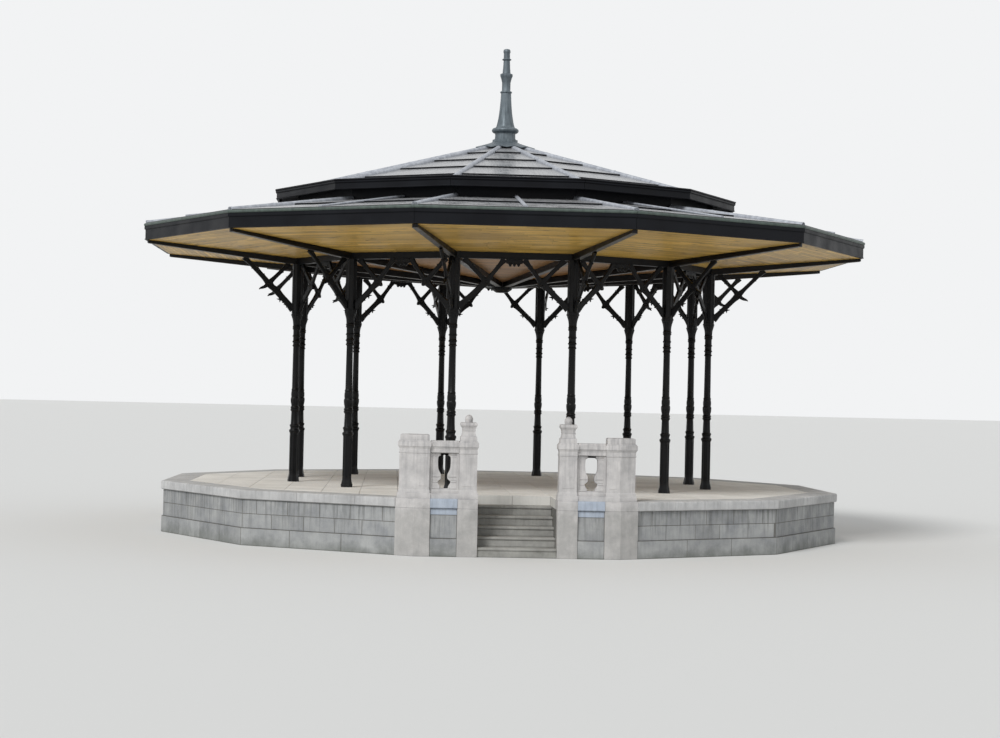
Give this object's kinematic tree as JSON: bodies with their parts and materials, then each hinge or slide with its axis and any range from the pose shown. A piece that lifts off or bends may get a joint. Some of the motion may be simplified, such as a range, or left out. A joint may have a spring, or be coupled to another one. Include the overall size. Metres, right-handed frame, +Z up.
{
  "type": "bandstand",
  "caption": "Open park bandstand: stone platform with recessed stair and pierced balustrade, slim iron columns with knotted brackets, and a two-tier sheet roof with a turned finial.",
  "frame": {"origin": "ground under the middle of the platform", "axes": "+Z up; the stair and its balustrade face -Y; +X to the right of someone who faces the stair"},
  "size_m": [13.7568, 13.7568, 9.64],
  "materials": {
    "wall_stone": "dressed stone courses, stained by rain",
    "coping_stone": "fine dressed stone, worn",
    "floor_stone": "pale paving, walked smooth",
    "step_stone": "dressed steps with worn nosings",
    "balustrade_stone": "cast stone, weathered grey with dark runs",
    "column_iron": "cast iron under thick black gloss paint",
    "bracket_iron": "cast iron under black gloss paint",
    "beam_paint": "dark painted beam",
    "rib_paint": "dark painted rib",
    "ceiling_wood": "varnished tongued and grooved boards",
    "fascia_paint": "boards under blue-black gloss paint",
    "clerestory_paint": "dark painted boards",
    "roof_sheet": "dark grey sheet metal, weathered",
    "roll_zinc": "weathered zinc",
    "finial_zinc": "beaten zinc, grey patina"
  },
  "bodies": {
    "root": {"beam_fleurons": "bracket_iron", "ceiling_boards": "ceiling_wood", "ceiling_hub": "rib_paint", "ceiling_ribs": "rib_paint", "clerestory_boards": "clerestory_paint", "column_01": "column_iron", "column_02": "column_iron", "column_03": "column_iron", "column_04": "column_iron", "column_05": "column_iron", "column_06": "column_iron", "column_07": "column_iron", "column_08": "column_iron", "column_09": "column_iron", "column_10": "column_iron", "column_11": "column_iron", "column_12": "column_iron", "coping_stones": "coping_stone", "corner_pier_left": "balustrade_stone", "corner_pier_right": "balustrade_stone", "eave_brackets": "bracket_iron", "eave_edges": "roll_zinc", "finial_base": "finial_zinc", "finial_spire": "finial_zinc", "floor_paving": "floor_stone", "lower_fascia": "fascia_paint", "lower_hip_rolls": "roll_zinc", "lower_roof": "roof_sheet", "newel_left": "balustrade_stone", "newel_right": "balustrade_stone", "pierced_panel_left": "balustrade_stone", "pierced_panel_right": "balustrade_stone", "plinth_mass": "wall_stone", "plinth_piers": "wall_stone", "ring_beams": "beam_paint", "ring_brackets": "bracket_iron", "soffit_boards": "ceiling_wood", "stair_step_1": "step_stone", "stair_step_2": "step_stone", "stair_step_3": "step_stone", "stair_step_4": "step_stone", "stair_step_5": "step_stone", "upper_fascia": "fascia_paint", "upper_hip_rolls": "roll_zinc", "upper_roof": "roof_sheet"}
  },
  "joints": []
}
